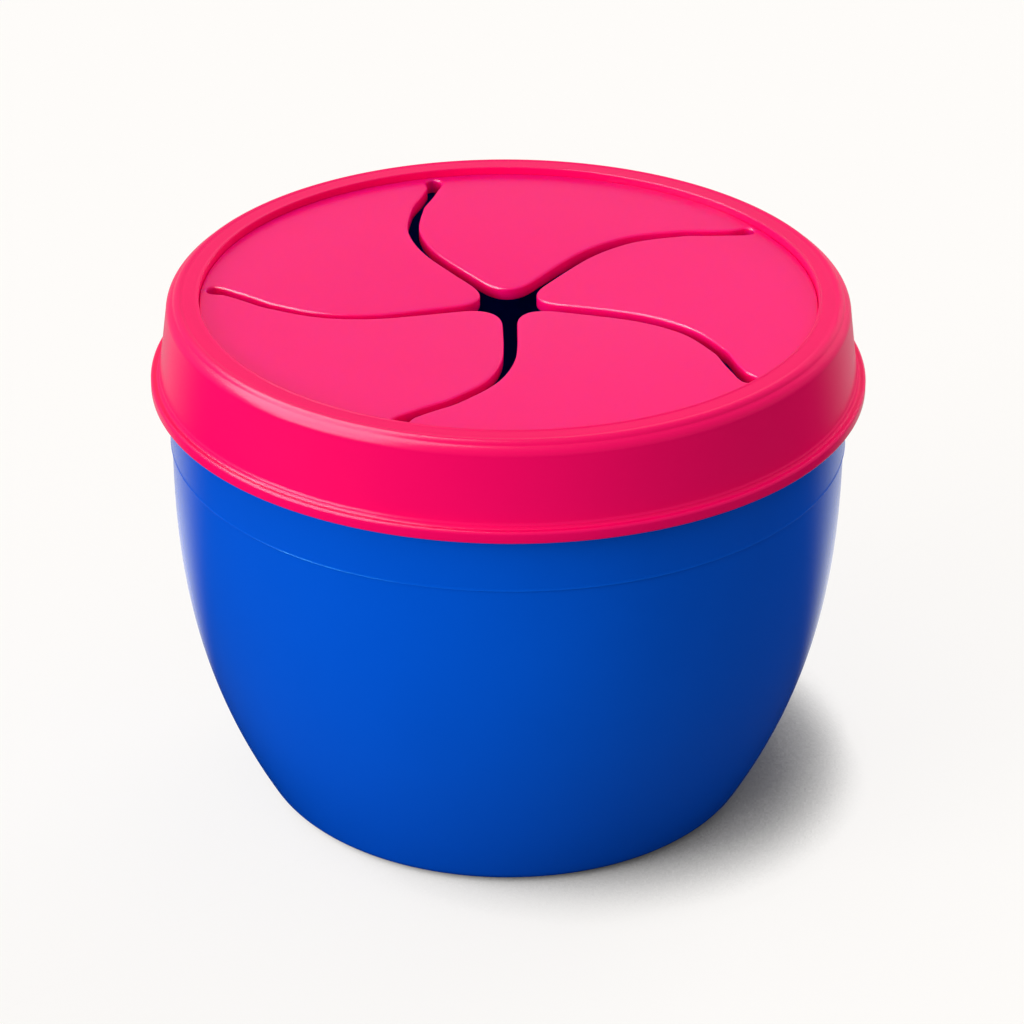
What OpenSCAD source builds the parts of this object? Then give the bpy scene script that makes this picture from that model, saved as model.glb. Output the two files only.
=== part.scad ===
// Snack cup for a toddler: a bowl-sided cup and a lid that lifts off. The lid is a hard ring that holds
// a soft disc, cut by five curved slits into flaps that bend out of the way of a small hand.
// Millimetres. Z is up, and the origin is the centre of the foot's underside.

/* [Cup] */
// Outer radius of the wall at the line round the cup
cup_r = 47.3; // [43:0.1:52]
// Height of the rim above the table
cup_h = 71.9; // [66:0.1:90]
// How much narrower the wall's curve is at the table than at the line
taper = 12.8; // [6:0.1:16]
// How late the wall's curve turns in: 1 is a cone, more is a fuller bowl
belly = 2.5; // [1.5:0.1:4]
// Wall thickness of the bowl
wall_t = 2; // [1.4:0.1:2.6]
// Thickness of the floor
floor_t = 2.2; // [1.4:0.1:4]
// Height of the rounded corner under the wall
corner_h = 2; // [1.2:0.1:4]
// Height of the rounded corner inside the cup
inner_corner_h = 3; // [1.5:0.1:6]
// Width of the foot ring
foot_w = 2.4; // [1.6:0.1:5]
// Height of the hollow inside the foot ring
foot_h = 1; // [0.5:0.1:2]
// Height of the line round the cup
line_z = 53.6; // [45:0.1:56]
// How far the band above the line stands out from the wall
band_proud = 0.2; // [0.1:0.05:0.6]

/* [Neck] */
// Height of the neck that the lid fits over
neck_h = 10.15; // [8:0.05:14]
// How far the neck is set in from the band
neck_step = 1.35; // [1:0.05:2]
// Wall thickness of the neck
neck_t = 1.4; // [1:0.1:2]
// How far the snap beads stand out
bead = 0.3; // [0.15:0.05:0.4]
// Height of the neck's snap bead above the shoulder
bead_z = 4.6; // [4:0.1:6]
// Height of the lid's snap bead above the lid's lower edge
lid_bead_up = 2.2; // [1.6:0.1:2.4]

/* [Lid ring] */
// Radius of the opening in the ring, which the lid and the cup's neck follow
opening_r = 43; // [38:0.1:43.6]
// Width of the ring's lip, from its opening to the inside of the skirt
lip_w = 3.5; // [2.4:0.1:8]
// Thickness of the ring's flat top
web_t = 1.9; // [1.4:0.1:3]
// Gap between the neck and the lid's skirt
skirt_gap = 0.35; // [0.3:0.05:0.6]
// Thickness of the skirt under its shoulder
skirt_t = 1.1; // [0.9:0.1:2]
// How far the skirt leans out towards its lower edge
skirt_flare = 1.3; // [0.5:0.1:2]
// Radius of the rounded shoulder
shoulder_r = 2.3; // [1.5:0.1:3]
// Depth of the two fine grooves round the shoulder
groove_d = 0.14; // [0.05:0.01:0.2]
// How far the flange stands out from the skirt
flange_w = 1.1; // [0.6:0.1:2.5]
// Thickness of the flange at its edge
flange_t = 1.8; // [1.2:0.1:3]

/* [Flaps] */
// Thickness of the soft disc
flap_t = 2.2; // [1.6:0.1:3]
// How far the disc lies below the ring's top
recess = 1.1; // [0.6:0.1:1.6]
// Width of a slit near the ring
slit_w = 1.6; // [1.2:0.1:2.2]
// Width of a slit where it leaves the star hole
slit_inner_w = 2; // [1.8:0.1:3]
// Width of a slit's round outer end
slit_end_w = 2.3; // [1.6:0.1:2.8]
// Distance from the slits' ends to the edge of the ring's opening
slit_margin = 1.2; // [0.8:0.1:4]
// Radius at which the tips of the flaps begin to round
tip_from_r = 7.4; // [6:0.1:9]
// Rounding of the flaps' edges
edge_r = 0.5; // [0.2:0.05:0.7]
// How far the tips hang below the disc
droop = 1; // [0:0.1:2]
// How much thinner a flap is at its tip than at its root
tip_thin = 0.4; // [0:0.1:0.8]
// How far a flap bends down before its root groove closes
bend_down = 72; // [45:1:76]

/* [Fits] */
// Gap between the rim and the disc above it
seat_gap = 0.1; // [0.05:0.05:0.2]
// Gap round the disc's face, and round its edge inside the ring
disc_gap = 0.1; // [0.05:0.05:0.3]
// Gap between the lid's lower edge and the cup's shoulder
rest_gap = 0.27; // [0.2:0.01:0.6]
// Gap between a flap's root and the disc, at the bending line
root_gap = 0.1; // [0.06:0.02:0.2]

/* [Hidden] */
$fn = 96;

flap_count = 5;
flap_turn = 360 / flap_count;

// The path of a slit: shares of the radius of its outer end, and the angle there.
slit_path = [[0.14, 55.6], [0.43, 54.6], [0.62, 49.7], [0.81, 41.0], [0.92, 35.4], [1, 33.6]];

// The bowl follows cup_r, and the neck follows the lid. The band joins the two.
skirt_in_r = opening_r + lip_w;
neck_r = skirt_in_r - skirt_gap;
band_r = cup_r + band_proud;
band_top_r = neck_r + neck_step;
neck_in_r = neck_r - neck_t;
shoulder_z = cup_h - neck_h;
floor_z = foot_h + floor_t;

disc_bottom = cup_h + seat_gap;
disc_top = disc_bottom + flap_t;
lid_top = disc_top + recess;
web_bottom = lid_top - web_t;
skirt_bottom = shoulder_z + rest_gap;
disc_r = opening_r - disc_gap;
skirt_draft = skirt_gap;
skirt_r = skirt_in_r + skirt_t;
skirt_low_r = skirt_r + skirt_flare;
flange_r = skirt_low_r + flange_w;
lid_bead_z = skirt_bottom + lid_bead_up;

slit_end_r = opening_r - slit_margin;
slit_end_turn = slit_path[len(slit_path) - 1][1];
bend_r = slit_end_r * cos(flap_turn / 2);
root_lean = bend_down / 2;
side_steps = 22;
tip_steps = 8;

// Small shapes that follow no other size: heights, widths and radii of beads, roundings and the cup's line.
bead_h = 1.6;
bead_flat = 0.4;
bead_lean = 0.1;
soft_edge = 0.3;
flange_edge = 0.4;
flange_cove = 0.6;
rim_edge = 0.45;
shoulder_edge = 0.5;
foot_slope = 0.6;
line_proud = 0.06;
line_low = 0.1;
line_high = 0.22;
band_start = 0.36;
neck_blend = 2;
tip_pull = 0.62;
past = 1;

// Points on an arc about [r, z], from angle a0 to angle a1.
function arc(r, z, size, a0, a1, steps = 8) =
    [for (i = [0 : steps]) let (a = a0 + (a1 - a0) * i / steps) [r + size * cos(a), z + size * sin(a)]];

// ---- Cup ----

// Radius of the wall's outer curve at height z.
function wall_r(z) = cup_r - taper * pow(max(0, 1 - z / line_z), belly);

// Angle of that curve above the horizontal.
function wall_angle(z) = atan2(0.1, wall_r(z + 0.1) - wall_r(z));

// Rounded corner from a flat at height z to the wall's curve, which is moved in by inset.
function corner(z, rise, inset) =
    let (a = wall_angle(z + rise), size = rise / (1 - cos(a)))
    arc(wall_r(z + rise) - inset - size * sin(a), z + size, size, -90, a - 90);

// The wall's curve between two heights, moved in by inset but never wider than limit.
function wall(z0, z1, inset, limit, steps = 20) =
    [for (i = [1 : steps]) let (z = z0 + (z1 - z0) * i / steps) [min(limit, wall_r(z) - inset), z]];

function reversed(list) = [for (i = [len(list) - 1 : -1 : 0]) list[i]];

// A snap bead on an upright wall, which stands out by proud.
function bead_points(r, z, proud) =
    [[r, z - bead_h / 2], [r + proud, z - bead_flat / 2], [r + proud, z + bead_flat / 2], [r, z + bead_h / 2]];

module cup() {
    outer_corner = corner(0, corner_h, 0);
    inner_corner = corner(floor_z, inner_corner_h, wall_t);
    foot_in_r = outer_corner[0][0] - foot_w;
    inner_top = shoulder_z - neck_blend;
    line_r = band_r + line_proud;
    outside = concat(
        outer_corner,
        wall(corner_h, line_z, 0, cup_r),
        [[line_r, line_z + line_low], [line_r, line_z + line_high], [band_r, line_z + band_start]],
        arc(band_top_r - shoulder_edge, shoulder_z - shoulder_edge, shoulder_edge, 0, 90, 4),
        [[neck_r, shoulder_z]],
        bead_points(neck_r, shoulder_z + bead_z, bead),
        arc(neck_r - rim_edge, cup_h - rim_edge, rim_edge, 0, 90, 4));
    inside = concat(
        inner_corner,
        wall(floor_z + inner_corner_h, inner_top, wall_t, neck_in_r),
        arc(neck_in_r + rim_edge, cup_h - rim_edge, rim_edge, 180, 90, 4));
    color([0, 0.27, 0.71])
        rotate_extrude()
            polygon(concat(
                [[0, foot_h], [foot_in_r - foot_slope, foot_h], [foot_in_r, 0]],
                outside,
                reversed(inside),
                [[0, floor_z]]));
}

// ---- Lid ring ----

// The shoulder's outline from the flat top to the skirt, with its two fine grooves.
function shoulder_points() =
    let (r = skirt_r - shoulder_r, z = lid_top - shoulder_r)
    concat(
        arc(r, z, shoulder_r, 90, 88, 1),
        arc(r, z, shoulder_r - groove_d, 86, 85, 1),
        arc(r, z, shoulder_r, 83, 58, 5),
        arc(r, z, shoulder_r - groove_d, 56, 55, 1),
        arc(r, z, shoulder_r, 53, 0, 9));

module lid_ring() {
    flange_top = skirt_bottom + flange_t;
    low_in_r = skirt_in_r + skirt_draft;
    color([0.96, 0.08, 0.43])
        rotate_extrude()
            polygon(concat(
                [[opening_r, web_bottom]],
                arc(opening_r + soft_edge, lid_top - soft_edge, soft_edge, 180, 90, 4),
                shoulder_points(),
                arc(skirt_low_r + flange_cove, flange_top + flange_cove, flange_cove, 185, 265, 5),
                arc(flange_r - flange_edge, flange_top - flange_edge, flange_edge, 85, 0, 4),
                arc(flange_r - soft_edge, skirt_bottom + soft_edge, soft_edge, 0, -90, 4),
                [[low_in_r + soft_edge, skirt_bottom], [low_in_r, skirt_bottom + soft_edge]],
                [[low_in_r, lid_bead_z - bead_h / 2], [low_in_r - bead, lid_bead_z]],
                [[low_in_r - bead_lean, lid_bead_z + bead_h / 2], [skirt_in_r, web_bottom]]));
}

// ---- Soft disc and its flaps ----

// Cubic through four values, at share t between the middle two.
function spline(a, b, c, d, t) =
    b + 0.5 * t * (c - a + t * (2 * a - 5 * b + 4 * c - d + t * (3 * (b - c) + d - a)));

// Angle of the slit's middle line at radius r.
function slit_angle(r) =
    let (
        s = r / slit_end_r,
        last = len(slit_path) - 1,
        k = max([0, for (i = [0 : last - 1]) if (slit_path[i][0] <= s) i]),
        t = (s - slit_path[k][0]) / (slit_path[k + 1][0] - slit_path[k][0]))
    spline(slit_path[max(k - 1, 0)][1], slit_path[k][1], slit_path[k + 1][1], slit_path[min(k + 2, last)][1], t);

function slit_point(r) = r * [cos(slit_angle(r)), sin(slit_angle(r))];

// Direction of the slit at radius r, pointing outwards.
function slit_heading(r) = let (d = slit_point(r + 0.05) - slit_point(r - 0.05)) d / norm(d);

// Width of the slit at radius r.
function slit_width(r) =
    let (s = min(1, max(0, (r - tip_from_r) / (0.5 * slit_end_r)))) slit_inner_w + (slit_w - slit_inner_w) * s;

function turned(p, a) = [p[0] * cos(a) - p[1] * sin(a), p[0] * sin(a) + p[1] * cos(a)];

// A point of a flap's edge, on the slit before the flap (side 1) or after it (side -1).
// inset moves the point into the flap.
function edge_point(r, side, inset) =
    let (h = slit_heading(r), off = slit_width(r) / 2 + inset, p = slit_point(r) + side * off * [-h[1], h[0]])
    turned(p, side > 0 ? 0 : flap_turn);

// Outward direction across the flap's bending line.
bend_turn = slit_end_turn + flap_turn / 2;
bend_out = [cos(bend_turn), sin(bend_turn)];

// Radius at which that edge meets the line that lies reach from the centre, found by halving.
function root_radius(side, inset, reach, low, high, steps = 14) =
    let (mid = (low + high) / 2)
    steps == 0 ? mid
    : edge_point(mid, side, inset) * bend_out > reach
        ? root_radius(side, inset, reach, low, mid, steps - 1)
        : root_radius(side, inset, reach, mid, high, steps - 1);

// The rounded tip between the last points of the two edges.
function tip_points(inset) =
    let (
        a = edge_point(tip_from_r, 1, inset),
        b = edge_point(tip_from_r, -1, inset),
        to_a = -slit_heading(tip_from_r),
        to_b = turned(to_a, flap_turn),
        pull = tip_pull * norm(a - b) / 2 / sin(flap_turn / 2),
        c = a + pull * to_a,
        d = b + pull * to_b)
    [for (i = [1 : tip_steps - 1]) let (t = i / tip_steps, u = 1 - t)
        u * u * u * a + 3 * u * u * t * c + 3 * u * t * t * d + t * t * t * b];

// One closed outline of a flap, depth below the disc's face, drawn in by inset.
function flap_outline(depth, inset) =
    let (
        reach = bend_r - root_gap / 2 - depth * tan(root_lean),
        r1 = root_radius(1, inset, reach, slit_end_r / 2, slit_end_r),
        r2 = root_radius(-1, inset, reach, slit_end_r / 2, slit_end_r))
    concat(
        [for (i = [0 : side_steps]) edge_point(r1 + (tip_from_r - r1) * i / side_steps, 1, inset)],
        tip_points(inset),
        [for (i = [side_steps : -1 : 0]) edge_point(r2 + (tip_from_r - r2) * i / side_steps, -1, inset)]);

// Height of the flap's surface at p: flat at the root, and lower towards the tip.
function flap_z(p, depth) =
    let (s = max(0, bend_r - p * bend_out) / bend_r)
    disc_top - depth * (1 - tip_thin * s / flap_t) - droop * s * s;

// Layers from the underside to the face: [depth below the face, inset], rounded at both edges.
function layers() =
    let (bow = edge_r * (1 - cos(45)))
    [[flap_t, edge_r], [flap_t - bow, bow], [flap_t - edge_r, 0], [edge_r, 0], [bow, bow], [0, edge_r]];

module flap(k) {
    rings = [for (l = layers()) [for (p = flap_outline(l[0], l[1])) [p[0], p[1], flap_z(p, l[0])]]];
    n = len(rings[0]);
    top = (len(rings) - 1) * n;
    points = [for (ring = rings) each ring];
    sides = [for (j = [0 : len(rings) - 2]) for (i = [0 : n - 1])
        let (a = j * n + i, b = j * n + (i + 1) % n)
        each [[a, b, b + n], [a, b + n, a + n]]];
    // The face and the underside are strips that run across the flap from edge to edge.
    strips = [for (i = [0 : ceil(n / 2) - 2])
        let (j = n - 1 - i)
        each [
            [i, j, i + 1], [i + 1, j, j - 1],
            [top + i, top + i + 1, top + j], [top + i + 1, top + j - 1, top + j]]];
    color([1, 0.22, 0.49])
        rotate([0, 0, flap_turn * (k - 1)])
            polyhedron(
                points,
                concat(sides, [for (f = strips) if (f[1] != f[2] && f[0] != f[2] && f[0] != f[1]) f]));
}

// Everything on the inner side of one bending line, leaning out underneath to leave the root groove.
module inside_bend(k) {
    size = 4 * opening_r;
    rotate([0, 0, bend_turn + flap_turn * k])
        translate([bend_r + root_gap / 2, 0, disc_top])
            rotate([0, -root_lean, 0])
                translate([-size, -size / 2, -size / 2])
                    cube(size);
}

module flap_rim() {
    color([1, 0.22, 0.49])
        difference() {
            rotate_extrude()
                polygon(concat(
                    [[0, disc_bottom], [skirt_in_r - 2 * disc_gap, disc_bottom]],
                    [[skirt_in_r - 2 * disc_gap, web_bottom], [disc_r, web_bottom]],
                    arc(disc_r - soft_edge, disc_top - soft_edge, soft_edge, 0, 90, 4),
                    [[0, disc_top]]));
            intersection_for (k = [0 : flap_count - 1])
                inside_bend(k);
            for (k = [0 : flap_count - 1])
                rotate([0, 0, slit_end_turn + flap_turn * k])
                    translate([slit_end_r - slit_w / 2, 0, disc_bottom - past])
                        cylinder(d = slit_end_w, h = flap_t + 2 * past);
        }
}

cup();
lid_ring();
flap_rim();
flap(1);  // flap_1
flap(2);  // flap_2
flap(3);  // flap_3
flap(4);  // flap_4
flap(5);  // flap_5
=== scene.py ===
import math

import bpy
import numpy as np
from mathutils import Matrix, Vector


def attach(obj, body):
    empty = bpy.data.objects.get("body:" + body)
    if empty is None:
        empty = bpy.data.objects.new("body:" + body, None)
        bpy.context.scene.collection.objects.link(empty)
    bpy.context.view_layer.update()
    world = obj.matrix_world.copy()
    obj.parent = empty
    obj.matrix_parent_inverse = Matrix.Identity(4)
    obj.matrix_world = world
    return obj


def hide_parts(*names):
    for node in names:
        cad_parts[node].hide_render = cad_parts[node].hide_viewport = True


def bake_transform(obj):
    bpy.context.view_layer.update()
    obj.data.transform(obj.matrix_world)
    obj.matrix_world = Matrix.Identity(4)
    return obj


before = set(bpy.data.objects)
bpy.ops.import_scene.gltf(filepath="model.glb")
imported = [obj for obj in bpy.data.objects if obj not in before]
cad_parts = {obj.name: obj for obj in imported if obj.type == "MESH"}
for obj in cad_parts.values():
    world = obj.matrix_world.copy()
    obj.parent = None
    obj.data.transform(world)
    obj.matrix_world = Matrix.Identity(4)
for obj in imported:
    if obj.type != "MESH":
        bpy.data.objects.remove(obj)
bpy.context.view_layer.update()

MM = 0.001


# ---- Materials ----

# How far light spreads in the soft rubber, in metres, and the share of that for red, green and blue.
SCATTER_DEPTH = 0.003
SCATTER_COLOUR = (1, 0.12, 0.3)
MOTTLE_SCALE = 35
BUMP_STRENGTH = 0.5


def srgb(r, g, b):
    """Linear colour of a colour that is given as it looks on a screen, 0 to 255."""
    def linear(v):
        v = v / 255
        return v / 12.92 if v <= 0.04045 else ((v + 0.055) / 1.055) ** 2.4
    return (linear(r), linear(g), linear(b), 1)


def add_node(tree, kind, values=(), sources=()):
    """A new node. values holds numbers for its inputs, and sources the outputs that feed its inputs."""
    node = tree.nodes.new(kind)
    for name, value in dict(values).items():
        node.inputs[name].default_value = value
    for name, output in dict(sources).items():
        tree.links.new(output, node.inputs[name])
    return node


def colour_ramp(tree, value, stops):
    """A ramp that gives the colour of each (position, colour) stop, and what lies between them."""
    node = add_node(tree, "ShaderNodeValToRGB", sources={"Fac": value})
    for position, _ in stops[1:-1]:
        node.color_ramp.elements.new(position)
    for element, (position, colour) in zip(node.color_ramp.elements, stops):
        element.position = position
        element.color = colour
    return node


def plastic(name, colour, gloss, gloss_tint, roughness, grain, grain_depth, mottle, scatter=0):
    """Moulded plastic: a fine grain in its skin, and faint changes of colour and gloss over its surface.

    gloss is how strongly it mirrors, grain is how fine its grain is, and grain_depth is in metres. mottle is
    the share by which its colour changes, and scatter is how much of the light spreads inside it.
    """
    material = bpy.data.materials.new(name)
    material.use_nodes = True
    tree = material.node_tree
    place = add_node(tree, "ShaderNodeTexCoord").outputs["Object"]
    cloud = add_node(tree, "ShaderNodeTexNoise", {"Scale": MOTTLE_SCALE, "Detail": 3}, {"Vector": place})
    darker = [c * (1 - mottle) for c in colour[:3]] + [1]
    lighter = [min(1, c * (1 + mottle)) for c in colour[:3]] + [1]
    tint = colour_ramp(tree, cloud.outputs["Fac"], [(0.3, darker), (0.7, lighter)])
    wear = add_node(
        tree, "ShaderNodeMapRange", {"To Min": roughness * 0.9, "To Max": roughness * 1.1},
        {"Value": cloud.outputs["Fac"]})
    skin = add_node(tree, "ShaderNodeTexNoise", {"Scale": grain, "Detail": 2}, {"Vector": place})
    bump = add_node(
        tree, "ShaderNodeBump", {"Strength": BUMP_STRENGTH, "Distance": grain_depth},
        {"Height": skin.outputs["Fac"]})
    shader = tree.nodes["Principled BSDF"]
    shader.inputs["Specular IOR Level"].default_value = gloss
    shader.inputs["Specular Tint"].default_value = gloss_tint
    shader.inputs["Subsurface Weight"].default_value = scatter
    shader.inputs["Subsurface Radius"].default_value = SCATTER_COLOUR
    shader.inputs["Subsurface Scale"].default_value = SCATTER_DEPTH
    tree.links.new(tint.outputs["Color"], shader.inputs["Base Color"])
    tree.links.new(wear.outputs["Result"], shader.inputs["Roughness"])
    tree.links.new(bump.outputs["Normal"], shader.inputs["Normal"])
    return material


CUP_BLUE = plastic(
    "cup_blue", srgb(0, 80, 203), gloss=0.4, gloss_tint=(0.1, 0.9, 0.9, 1), roughness=0.22,
    grain=2500, grain_depth=0.00001, mottle=0.03)
RING_PINK = plastic(
    "ring_pink", srgb(239, 2, 94), gloss=0.17, gloss_tint=(1, 0.6, 0.65, 1), roughness=0.25,
    grain=2500, grain_depth=0.00001, mottle=0.02)
SOFT_PINK = plastic(
    "soft_pink", srgb(246, 2, 112), gloss=0.3, gloss_tint=(1, 0.6, 0.65, 1), roughness=0.25,
    grain=3500, grain_depth=0.00002, mottle=0.02, scatter=0.6)


# ---- Meshes, and pieces turned round the Z axis. Radii and heights are in millimetres. ----

SIDES = 256
SHARP_ANGLE = math.radians(45)
ON_AXIS = 1e-6


def mesh_piece(name, points, faces, material):
    """A smooth piece whose edges stay sharp where its faces meet at more than SHARP_ANGLE."""
    mesh = bpy.data.meshes.new(name)
    mesh.from_pydata(points, [], faces)
    mesh.shade_smooth()
    mesh.set_sharp_from_angle(angle=SHARP_ANGLE)
    mesh.materials.append(material)
    obj = bpy.data.objects.new(name, mesh)
    bpy.context.scene.collection.objects.link(obj)
    return obj


def arc(r, z, size, start, end, steps):
    """Points of a profile on an arc of radius size about (r, z), between two angles in degrees."""
    turns = [math.radians(start + (end - start) * i / steps) for i in range(steps + 1)]
    return [(r + size * math.cos(t), z + size * math.sin(t)) for t in turns]


def with_holds(profile, hold=0.15, longest=3):
    """The profile with more points on its long stretches, so that the shading stays flat up to their ends.

    A long stretch gets a point at hold from each end, and more between them, about longest apart.
    """
    out = [profile[0]]
    for (r0, z0), (r1, z1) in zip(profile, profile[1:]):
        length = math.hypot(r1 - r0, z1 - z0)
        if length > 8 * hold:
            count = math.ceil(length / longest)
            shares = [hold / length] + [i / count for i in range(1, count)] + [1 - hold / length]
            out += [(r0 + (r1 - r0) * t, z0 + (z1 - z0) * t) for t in shares]
        out.append((r1, z1))
    return out


def turned_piece(name, body, material, nodes, profile):
    """A piece turned round the Z axis from a profile of (radius, height).

    The profile runs anticlockwise, and closes on itself unless it begins and ends on the axis.
    """
    has_hole = profile[0][0] > 0
    profile = with_holds(profile + profile[:1])[:-1] if has_hole else with_holds(profile)
    points = []
    rings = []
    for r, z in profile:
        count = SIDES if r > ON_AXIS else 1
        rings.append([len(points) + i % count for i in range(SIDES)])
        turns = [2 * math.pi * i / SIDES for i in range(count)]
        points += [(r * math.cos(t) * MM, r * math.sin(t) * MM, z * MM) for t in turns]
    faces = []
    for low_ring, high_ring in zip(rings, rings[1:] + rings[:1] if has_hole else rings[1:]):
        for i in range(SIDES):
            j = (i + 1) % SIDES
            corners = [low_ring[i], low_ring[j], high_ring[j], high_ring[i]]
            # Next to the axis two corners are the same point, which a face names once.
            faces.append(list(dict.fromkeys(corners)))
    obj = mesh_piece(name, points, faces, material)
    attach(obj, body)
    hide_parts(*nodes)


# ---- Cup ----

WALL_R = 47.3
WALL_T = 2
# The bowl's wall leans in by TAPER from the line round the cup down to the table, along a power curve.
TAPER = 12.8
BELLY = 2.5
FLOOR_T = 3.2
FLOOR_ROUND = 3
FOOT_ROUND = 2
FOOT_RING_W = 2.4
FOOT_RING_H = 1
LINE_Z = 53.6
BAND_R = 47.5
SHOULDER_Z = 61.75
NECK_R = 46.15
NECK_IN_R = 44.75
CUP_H = 71.9
RIM_ROUND = 0.45
CUP_BEAD_Z = SHOULDER_Z + 4.6


def wall_r(z):
    """Outer radius of the bowl's wall at height z."""
    return WALL_R - TAPER * max(0, 1 - z / LINE_Z) ** BELLY


def wall(z0, z1, inset, limit=math.inf, steps=60):
    """The wall's curve between two heights, drawn in by inset, and kept within the radius limit."""
    heights = [z0 + (z1 - z0) * i / steps for i in range(1, steps + 1)]
    return [(min(limit, wall_r(z) - inset), z) for z in heights]


def wall_corner(z, rise, inset, steps=10):
    """The rounded corner from a flat at height z to the wall's curve."""
    step = 0.1
    angle = math.degrees(math.atan2(step, wall_r(z + rise + step) - wall_r(z + rise)))
    size = rise / (1 - math.cos(math.radians(angle)))
    middle = wall_r(z + rise) - inset - size * math.sin(math.radians(angle))
    return arc(middle, z + size, size, -90, angle - 90, steps)


def make_cup():
    """The cup, with its underside and its inside."""
    foot = wall_corner(0, FOOT_ROUND, 0)
    foot_in_r = foot[0][0] - FOOT_RING_W
    # From the middle of the underside, over the foot ring, and up the bowl's wall.
    outside = [(0, FOOT_RING_H)] + arc(foot_in_r - 0.9, FOOT_RING_H - 0.3, 0.3, 90, 45, 3)
    outside += arc(foot_in_r, 0.3, 0.3, 225, 270, 3) + foot + wall(FOOT_ROUND, LINE_Z - 0.05, 0)
    # The lower edge of the band is a fine raised line.
    outside += [(WALL_R, LINE_Z + 0.02), (BAND_R + 0.03, LINE_Z + 0.04), (BAND_R + 0.05, LINE_Z + 0.09)]
    outside += [(BAND_R + 0.02, LINE_Z + 0.15), (BAND_R, LINE_Z + 0.5)]
    # The band's top edge, and the neck with its snap bead and its round rim.
    outside += arc(BAND_R - 0.5, SHOULDER_Z - 0.5, 0.5, 0, 90, 6)
    outside += arc(NECK_R + 0.15, SHOULDER_Z + 0.15, 0.15, 270, 180, 3)
    outside += [(NECK_R, CUP_BEAD_Z - 0.8)] + arc(NECK_R - 0.1, CUP_BEAD_Z, 0.4, -60, 60, 8)
    outside += [(NECK_R, CUP_BEAD_Z + 0.8)] + arc(NECK_R - RIM_ROUND, CUP_H - RIM_ROUND, RIM_ROUND, 0, 90, 5)
    # The inside, from the floor up to the rim.
    inside = wall_corner(FLOOR_T, FLOOR_ROUND, WALL_T)
    inside += wall(FLOOR_T + FLOOR_ROUND, SHOULDER_Z - 2, WALL_T, NECK_IN_R)
    inside += arc(NECK_IN_R + RIM_ROUND, CUP_H - RIM_ROUND, RIM_ROUND, 180, 90, 5)
    profile = outside + inside[::-1] + [(0, FLOOR_T)]
    turned_piece("cup_body", "cup", CUP_BLUE, ["cup"], profile)


# ---- Lid ring ----

LID_TOP = 75.3
OPENING_R = 43
RING_UNDERSIDE_Z = 73.42
SKIRT_LOW = 62.02
SKIRT_ROUND = 0.3
RING_BEAD_Z = SKIRT_LOW + 2.2


def make_ring():
    """The hard ring. Its profile is given clockwise, from under its top round to the inside of its skirt."""
    # The underside, and the opening's edge with its fine lip.
    profile = [(46.47, RING_UNDERSIDE_Z), (OPENING_R, RING_UNDERSIDE_Z)]
    profile += arc(OPENING_R + 0.2, LID_TOP - 0.2, 0.2, 180, 90, 6)
    profile += [(43.26, LID_TOP - 0.01), (43.42, LID_TOP - 0.08), (43.52, LID_TOP - 0.1)]
    # The shoulder: a shallow valley, then two rounded beads one under the other.
    profile += [(44.85, 75.2), (45.1, 75.2), (45.32, 75.17), (45.5, 75.2)]
    profile += arc(45.8, 74.36, 0.9, 95, 33, 9) + [(46.59, 74.74)]
    profile += arc(46.16, 73.31, 1.44, 68, 0, 12)
    # The skirt, and the flange with its fine inner ridge.
    profile += [(48.72, 64.4)] + arc(48.72, 64.1, 0.16, 35, -10, 4)
    profile += arc(49.28, 64.02, 0.34, 195, 265, 6)
    profile += arc(49.58, 63.32, 0.42, 88, 0, 8)
    profile += arc(49.7, SKIRT_LOW + SKIRT_ROUND, SKIRT_ROUND, 0, -90, 5)
    # The inside of the skirt, with the snap bead.
    profile += arc(47.15, SKIRT_LOW + SKIRT_ROUND, SKIRT_ROUND, 270, 180, 3) + [(46.85, RING_BEAD_Z - 0.8)]
    profile += arc(46.93, RING_BEAD_Z, 0.38, 235, 125, 6) + [(46.75, RING_BEAD_Z + 0.8), (46.5, 73)]
    turned_piece("ring_body", "lid", RING_PINK, ["lid_ring"], profile[::-1])


# ---- Soft disc: five flaps that meet at short seams, and the border under the ring ----

FLAP_COUNT = 5
FLAP_TURN = 360 / FLAP_COUNT
DISC_R = 42.97
DISC_TOP = 74.2
DISC_BOTTOM = 72
BORDER_R = 46.3
BORDER_TOP = 73.36
BORDER_ROUND = 0.3
FLAP_T = DISC_TOP - DISC_BOTTOM
# A slit's middle line, as shares of its outer radius and angles, and its widths at its outer and inner ends.
SLIT_PATH = [(0.14, 55.6), (0.43, 54.6), (0.62, 49.7), (0.81, 41.0), (0.92, 35.4), (1, 33.6)]
SLIT_R = 41.8
SLIT_W = 1.6
SLIT_INNER_W = 2
# The slit widens to a round end of radius END_R, over the last END_LENGTH before END_FROM_R.
END_R = 1.15
END_FROM_R = 41
END_LENGTH = 2.2
# The flap's tip starts at TIP_FROM_R, and TIP_PULL says how full its curve is.
TIP_FROM_R = 7.4
TIP_PULL = 0.62
# At the middle of the disc the flap hangs DROOP lower and is TIP_THIN thinner.
DROOP = 1
TIP_THIN = 0.4
# The flap's free edge is rounded by EDGE_R, and its edge under the ring by BORDER_SHARE of that.
EDGE_R = 0.32
BORDER_SHARE = 0.4
# The flap's droop and thinning grow over BEND_R, from the straight line between the ends of its two slits.
BEND_R = SLIT_R * math.cos(math.radians(FLAP_TURN / 2))
BEND_TURN = SLIT_PATH[-1][1] + FLAP_TURN / 2
COLUMNS = 24


def unit(turn):
    """The direction at an angle in degrees."""
    return np.array([math.cos(math.radians(turn)), math.sin(math.radians(turn))])


def spun(p, turn):
    """The point turned about the Z axis by an angle in degrees."""
    c, s = unit(turn)
    return np.array([p[0] * c - p[1] * s, p[0] * s + p[1] * c])


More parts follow.
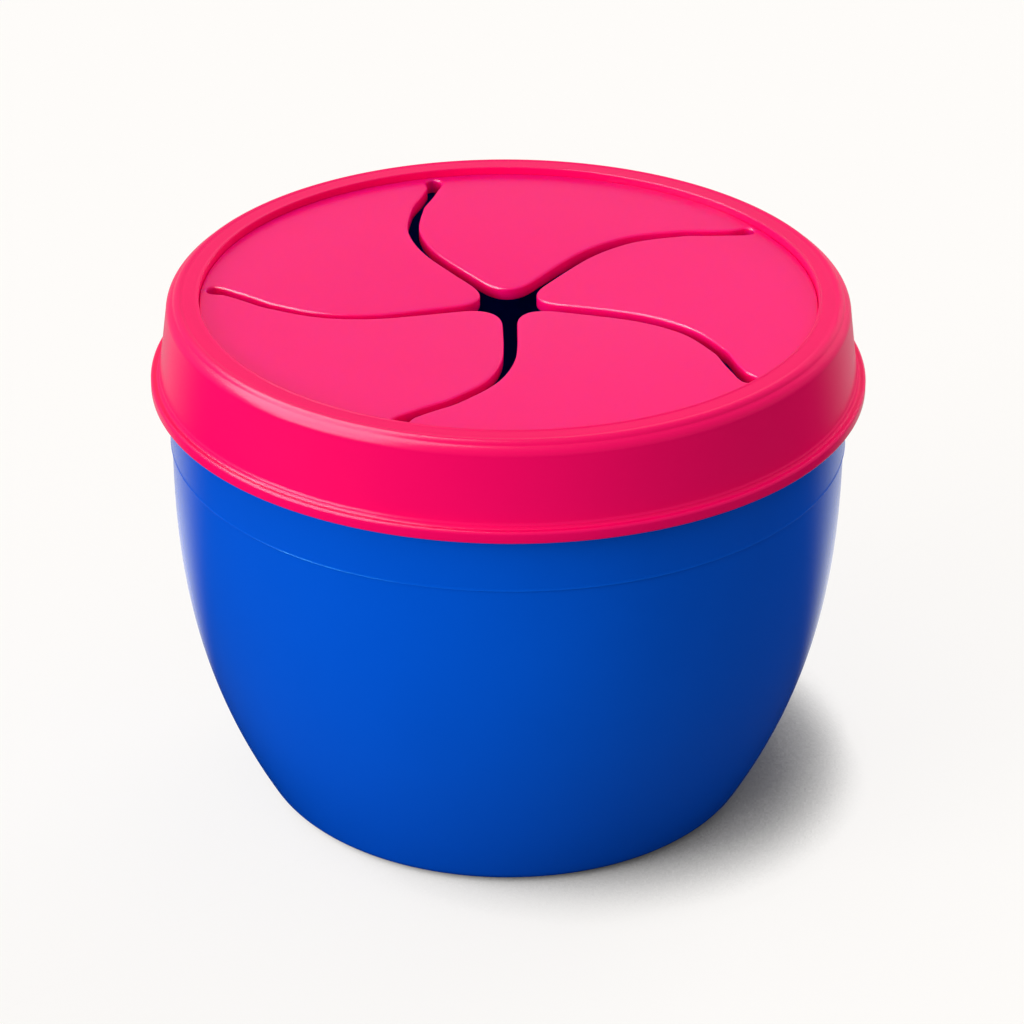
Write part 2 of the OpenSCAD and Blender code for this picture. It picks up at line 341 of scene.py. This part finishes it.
def polar(p):
    """A point's radius and its angle from 0 to 360 degrees."""
    return np.array([math.hypot(p[0], p[1]), math.degrees(math.atan2(p[1], p[0])) % 360])


def slit_turn(r):
    """Angle of the slit's middle line at radius r, on a smooth curve through SLIT_PATH."""
    share = r / SLIT_R
    last = len(SLIT_PATH) - 1
    k = max([0] + [i for i in range(last) if SLIT_PATH[i][0] <= share])
    t = (share - SLIT_PATH[k][0]) / (SLIT_PATH[k + 1][0] - SLIT_PATH[k][0])
    a, b, c, d = (SLIT_PATH[min(max(i, 0), last)][1] for i in range(k - 1, k + 3))
    return b + 0.5 * t * (c - a + t * (2 * a - 5 * b + 4 * c - d + t * (3 * (b - c) + d - a)))


SEAM_TURN = slit_turn(END_FROM_R)


def slit_point(r):
    """The point of the slit's middle line at radius r."""
    return r * unit(slit_turn(r))


def slit_heading(r):
    """The direction in which the slit's middle line leaves radius r, outwards."""
    step = slit_point(r + 0.05) - slit_point(r - 0.05)
    return step / np.linalg.norm(step)


def slit_half(r):
    """Half the slit's width: wider at the star hole, and again at its round outer end."""
    share = min(1, max(0, (r - TIP_FROM_R) / (0.5 * SLIT_R)))
    half = (SLIT_INNER_W + (SLIT_W - SLIT_INNER_W) * share) / 2
    near_end = max(0, 1 - (END_FROM_R - r) / END_LENGTH)
    return half + (END_R - half) * (0.5 - 0.5 * math.cos(math.pi * near_end))


def slit_edge(side, steps=36, end_steps=8):
    """One edge of a slit, from the seam at its outer end to the tip."""
    end = slit_point(END_FROM_R)
    heading = slit_heading(END_FROM_R)
    swing = math.degrees(math.atan2(heading[1], heading[0])) + 90 * side - SEAM_TURN
    points = [end + END_R * unit(SEAM_TURN + swing * i / end_steps) for i in range(end_steps)]
    for i in range(steps + 1):
        r = END_FROM_R + (TIP_FROM_R - END_FROM_R) * i / steps
        h = slit_heading(r)
        points.append(slit_point(r) + side * slit_half(r) * np.array([-h[1], h[0]]))
    return points


def free_edge(tip_steps=16):
    """The free edge of the first flap, from seam to seam round its tip, and the way inwards at each point."""
    first = slit_edge(1)
    second = [spun(p, FLAP_TURN) for p in slit_edge(-1)]
    a, b = first[-1], second[-1]
    to_a = -slit_heading(TIP_FROM_R)
    to_b = spun(to_a, FLAP_TURN)
    pull = TIP_PULL * np.linalg.norm(a - b) / 2 / math.sin(math.radians(FLAP_TURN / 2))
    c, d = a + pull * to_a, b + pull * to_b
    tip = []
    for i in range(1, tip_steps):
        t = i / tip_steps
        u = 1 - t
        tip.append(u ** 3 * a + 3 * u * u * t * c + 3 * u * t * t * d + t ** 3 * b)
    edge = np.array(first + tip + second[::-1])
    along = np.gradient(edge, axis=0)
    inward = np.stack([along[:, 1], -along[:, 0]], axis=1)
    inward /= np.linalg.norm(inward, axis=1)[:, None]
    # At the seams the flap is drawn in along them, so that it still meets its neighbours there.
    inward[0], inward[-1] = unit(SEAM_TURN), unit(SEAM_TURN + FLAP_TURN)
    return edge, inward


def on_flap(p, depth):
    """The point at a depth under the first flap's face, which hangs lower and gets thinner to its tip."""
    s = max(0, BEND_R - p @ unit(BEND_TURN)) / BEND_R
    return [p[0], p[1], DISC_TOP - depth * (1 - TIP_THIN * s / FLAP_T) - DROOP * s * s]


def flap_loop(edge, inward, inset):
    """The flap's outer boundary under the ring's edge, then its free edge, drawn in by inset."""
    r = DISC_R - BORDER_SHARE * inset
    border = [r * unit(SEAM_TURN + FLAP_TURN * i / COLUMNS) for i in range(COLUMNS + 1)]
    return border + list((edge + inset * inward))[::-1]


def filling(points, loop, depth):
    """Faces that fill a flap's loop, in rows from one free edge to the other, the first along the border.

    The points that they need inside the loop are added to points.
    """
    free = loop[COLUMNS + 1:][::-1]
    half = len(free) // 2
    rows = [loop[:COLUMNS + 1]]
    for left, right in zip(free[:half], free[::-1]):
        p, q = polar(points[left]), polar(points[right])
        row = [left]
        for j in range(1, COLUMNS):
            r, turn = p + (q - p) * (j / COLUMNS)
            row.append(len(points))
            points.append(on_flap(r * unit(turn), depth))
        rows.append(row + [right])
    faces = []
    for row, after in zip(rows, rows[1:]):
        faces += [[row[j], row[j + 1], after[j + 1], after[j]] for j in range(COLUMNS)]
    return faces + [[rows[-1][j], rows[-1][j + 1], free[half]] for j in range(COLUMNS)]


def flap_mesh():
    """Points, in millimetres, and faces of the first flap."""
    edge, inward = free_edge()
    turns = np.radians([0, 22.5, 45, 67.5, 90])
    bow = [(EDGE_R * (1 - math.cos(a)), EDGE_R * (1 - math.sin(a))) for a in turns]
    # The outermost layers lie on the two flats, a little further in, which keeps the flats' shading flat.
    flat = EDGE_R + 0.2
    layers = [(0, flat)] + bow + [(FLAP_T - depth, inset) for depth, inset in bow[::-1]] + [(FLAP_T, flat)]
    points = []
    loops = []
    for depth, inset in layers:
        loop = flap_loop(edge, inward, inset)
        loops.append(list(range(len(points), len(points) + len(loop))))
        points += [on_flap(p, depth) for p in loop]
    size = len(loops[0])
    faces = []
    for upper, lower in zip(loops, loops[1:]):
        for i in range(size):
            j = (i + 1) % size
            faces.append([upper[i], lower[i], lower[j], upper[j]])
    faces += filling(points, loops[0], 0)
    faces += [face[::-1] for face in filling(points, loops[-1], FLAP_T)]
    return points, faces


def make_flap(k, points, faces):
    """Flap k: the first flap's mesh, spun to its place."""
    turn = FLAP_TURN * (k - 1)
    placed = [(*(spun(p, turn) * MM), p[2] * MM) for p in points]
    name = "flap_%d" % k
    obj = mesh_piece("soft_" + name, placed, faces, SOFT_PINK)
    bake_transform(obj)
    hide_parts(name)


def make_border():
    """The soft disc's border, which is held under the ring and seals on the cup."""
    inner_r = DISC_R - 0.02
    corner_r = BORDER_R - BORDER_ROUND
    profile = [(inner_r, BORDER_TOP)] + arc(corner_r, BORDER_TOP - BORDER_ROUND, BORDER_ROUND, 90, 0, 4)
    profile += arc(corner_r, DISC_BOTTOM + BORDER_ROUND, BORDER_ROUND, 0, -90, 4) + [(inner_r, DISC_BOTTOM)]
    turned_piece("disc_border", "lid", SOFT_PINK, ["flap_rim"], profile[::-1])


make_cup()
make_ring()
make_border()
flap_points, flap_faces = flap_mesh()
for flap_number in range(1, FLAP_COUNT + 1):
    make_flap(flap_number, flap_points, flap_faces)

# ---- Stage: distances are in metres ----

BACKGROUND = srgb(254, 252, 249)
WHITE = (1, 1, 1, 1)
FLOOR_SIZE = 8
# The floor's colour where it lights the object, and where the camera sees it under the lamps.
FLOOR_GREY = (0.28, 0.28, 0.28, 1)
FLOOR_SEEN = (0.85, 0.826, 0.81, 1)
# The painted shadow at the foot, drawn by dimming the floor's own glow: how far it reaches, which way
# its light comes from, how open a spot is where the shadow is full and where it ends, and the share of
# the lamps' own shadows.
SHADOW_REACH = 0.018
TOWARDS_LIGHT = (-0.8, -0.1, 0.4)
SHADOW_RANGE = (0.32, 0.8)
LAMP_SHADOWS = 0.15


def smooth_step(tree, value, low, high, at_low, at_high):
    """at_low where the value is low or less, at_high where it is high or more, and smooth between them."""
    limits = {"From Min": low, "From Max": high, "To Min": at_low, "To Max": at_high}
    node = add_node(tree, "ShaderNodeMapRange", limits, {"Value": value})
    node.interpolation_type = "SMOOTHSTEP"
    return node.outputs["Result"]


def mix(tree, share, first, second):
    """The first surface where share is 0, and the second where it is 1."""
    node = add_node(tree, "ShaderNodeMixShader", sources={"Fac": share, 1: first, 2: second})
    return node.outputs["Shader"]


def paper(tree, colour):
    """A matt surface that the lamps light."""
    return add_node(tree, "ShaderNodeBsdfDiffuse", {"Color": colour}).outputs["BSDF"]


def glow(tree, strength):
    """A surface that shines by itself in the background's colour."""
    node = add_node(tree, "ShaderNodeEmission", {"Color": BACKGROUND}, {"Strength": strength})
    return node.outputs["Emission"]


def floor_as_seen(tree):
    """A white glow with a painted shadow, dimmed close to the object, most on the side away from the lamp."""
    facing = add_node(tree, "ShaderNodeCombineXYZ", zip("XYZ", TOWARDS_LIGHT))
    openness = add_node(
        tree, "ShaderNodeAmbientOcclusion", {"Distance": SHADOW_REACH}, {"Normal": facing.outputs["Vector"]})
    openness.samples = 8
    # Painted shadow: the floor's glow is dimmed where the object closes it in, not darkened by the lamps.
    white = glow(tree, smooth_step(tree, openness.outputs["AO"], *SHADOW_RANGE, at_low=0, at_high=1))
    lamp_lit = paper(tree, FLOOR_SEEN)
    seen = add_node(tree, "ShaderNodeMixShader", {"Fac": LAMP_SHADOWS}, {1: white, 2: lamp_lit})
    return seen.outputs["Shader"]


def floor_in_gloss(tree):
    """Dim in front of the object and at its foot, and bright behind it, most of all 6 cm from its axis."""
    place = add_node(tree, "ShaderNodeTexCoord").outputs["Object"]
    direction = add_node(tree, "ShaderNodeVectorMath", sources={0: place})
    direction.operation = "NORMALIZE"
    axes = add_node(tree, "ShaderNodeSeparateXYZ", sources={"Vector": direction.outputs["Vector"]})
    behind = smooth_step(tree, axes.outputs["Y"], low=0.25, high=0.7, at_low=0.03, at_high=1.5)
    distance = add_node(tree, "ShaderNodeVectorMath", sources={0: place})
    distance.operation = "LENGTH"
    by_metres = [(0.035, 0.05), (0.06, 1), (0.16, 0.33)]
    greys = [(metres, (share, share, share, 1)) for metres, share in by_metres]
    near = colour_ramp(tree, distance.outputs["Value"], greys)
    near.color_ramp.interpolation = "EASE"
    strength = add_node(tree, "ShaderNodeMath", sources={0: behind, 1: near.outputs["Color"]})
    strength.operation = "MULTIPLY"
    return glow(tree, strength.outputs["Value"])


def make_floor():
    """A white sweep with the object's shadow, mostly painted, that lights it little from below and is bright
    in gloss.
    """
    bpy.ops.mesh.primitive_plane_add(size=FLOOR_SIZE)
    floor = bpy.context.object
    floor.name = "floor"
    material = bpy.data.materials.new("floor_white")
    material.use_nodes = True
    tree = material.node_tree
    tree.nodes.remove(tree.nodes["Principled BSDF"])
    path = add_node(tree, "ShaderNodeLightPath")
    unseen = mix(tree, path.outputs["Is Glossy Ray"], paper(tree, FLOOR_GREY), floor_in_gloss(tree))
    surface = mix(tree, path.outputs["Is Camera Ray"], unseen, floor_as_seen(tree))
    tree.links.new(surface, tree.nodes["Material Output"].inputs["Surface"])
    floor.data.materials.append(material)


def make_world(ambient, in_gloss):
    """Even light from all round, dimmer where it is reflected, and the pale background beyond the floor."""
    world = bpy.data.worlds.new("studio")
    bpy.context.scene.world = world
    world.use_nodes = True
    tree = world.node_tree

    def sky(colour, strength):
        node = add_node(tree, "ShaderNodeBackground", {"Color": colour, "Strength": strength})
        return node.outputs["Background"]

    path = add_node(tree, "ShaderNodeLightPath")
    unseen = mix(tree, path.outputs["Is Glossy Ray"], sky(WHITE, ambient), sky(WHITE, in_gloss))
    surface = mix(tree, path.outputs["Is Camera Ray"], unseen, sky(BACKGROUND, 1))
    tree.links.new(surface, tree.nodes["World Output"].inputs["Surface"])


def make_lamp(name, direction, level, spread):
    """A soft lamp far away, not seen in gloss. level is how bright it makes a white surface that faces it."""
    lamp = bpy.data.lights.new(name, "SUN")
    lamp.energy = level * math.pi
    lamp.angle = math.radians(spread)
    obj = bpy.data.objects.new(name, lamp)
    bpy.context.scene.collection.objects.link(obj)
    obj.rotation_euler = Vector(direction).to_track_quat("Z", "Y").to_euler()
    obj.visible_glossy = False


def make_softbox(name, direction, along, distance, width, height, brightness):
    """A tall soft lamp that shows only as the highlights on rounded edges. along is its long axis."""
    lamp = bpy.data.lights.new(name, "AREA")
    lamp.shape = "RECTANGLE"
    lamp.size = width
    lamp.size_y = height
    lamp.energy = brightness * math.pi * width * height
    obj = bpy.data.objects.new(name, lamp)
    bpy.context.scene.collection.objects.link(obj)
    z = Vector(direction).normalized()
    x = Vector(along).cross(z).normalized()
    y = z.cross(x)
    obj.matrix_world = Matrix.Translation(z * distance) @ Matrix((x, y, z)).transposed().to_4x4()
    obj.visible_diffuse = False


make_floor()
make_world(ambient=0.64, in_gloss=0.45)
make_lamp("overhead", (-0.1, -0.1, 0.99), level=0.16, spread=60)
make_lamp("side_key", (-0.85, -0.5, 0.22), level=0.85, spread=40)
make_lamp("rim", (0.5, 0.84, 0.2), level=0.9, spread=40)
make_softbox(
    "shine", direction=(-0.66, -0.13, 0.74), along=(0.46, 0.708, 0.534), distance=0.6, width=0.5, height=1,
    brightness=17)

# ---- Camera ----

AIM_Z = 40.33 * MM
SIDE_STEP = 0.64 * MM
DISTANCE = 600 * MM
ELEVATION = math.radians(27.93)
ROLL = math.radians(-0.35)
LENS = 147.7
SENSOR_WIDTH = 36
CLIP_START = 0.01


def make_camera():
    """The photo's camera: in front, looking down by ELEVATION, and turned a little about its own view."""
    data = bpy.data.cameras.new("camera")
    data.lens = LENS
    data.sensor_width = SENSOR_WIDTH
    data.clip_start = CLIP_START
    camera = bpy.data.objects.new("camera", data)
    bpy.context.scene.collection.objects.link(camera)
    back = Vector((0, -math.cos(ELEVATION), math.sin(ELEVATION)))
    up = Vector((0, math.sin(ELEVATION), math.cos(ELEVATION)))
    right = Vector((1, 0, 0))
    tilted_right = right * math.cos(ROLL) - up * math.sin(ROLL)
    tilted_up = up * math.cos(ROLL) + right * math.sin(ROLL)
    place = Vector((SIDE_STEP, 0, AIM_Z)) + back * DISTANCE
    turn = Matrix((tilted_right, tilted_up, back)).transposed().to_4x4()
    camera.matrix_world = Matrix.Translation(place) @ turn
    bpy.context.scene.camera = camera


make_camera()
bpy.context.scene.view_settings.view_transform = "Standard"
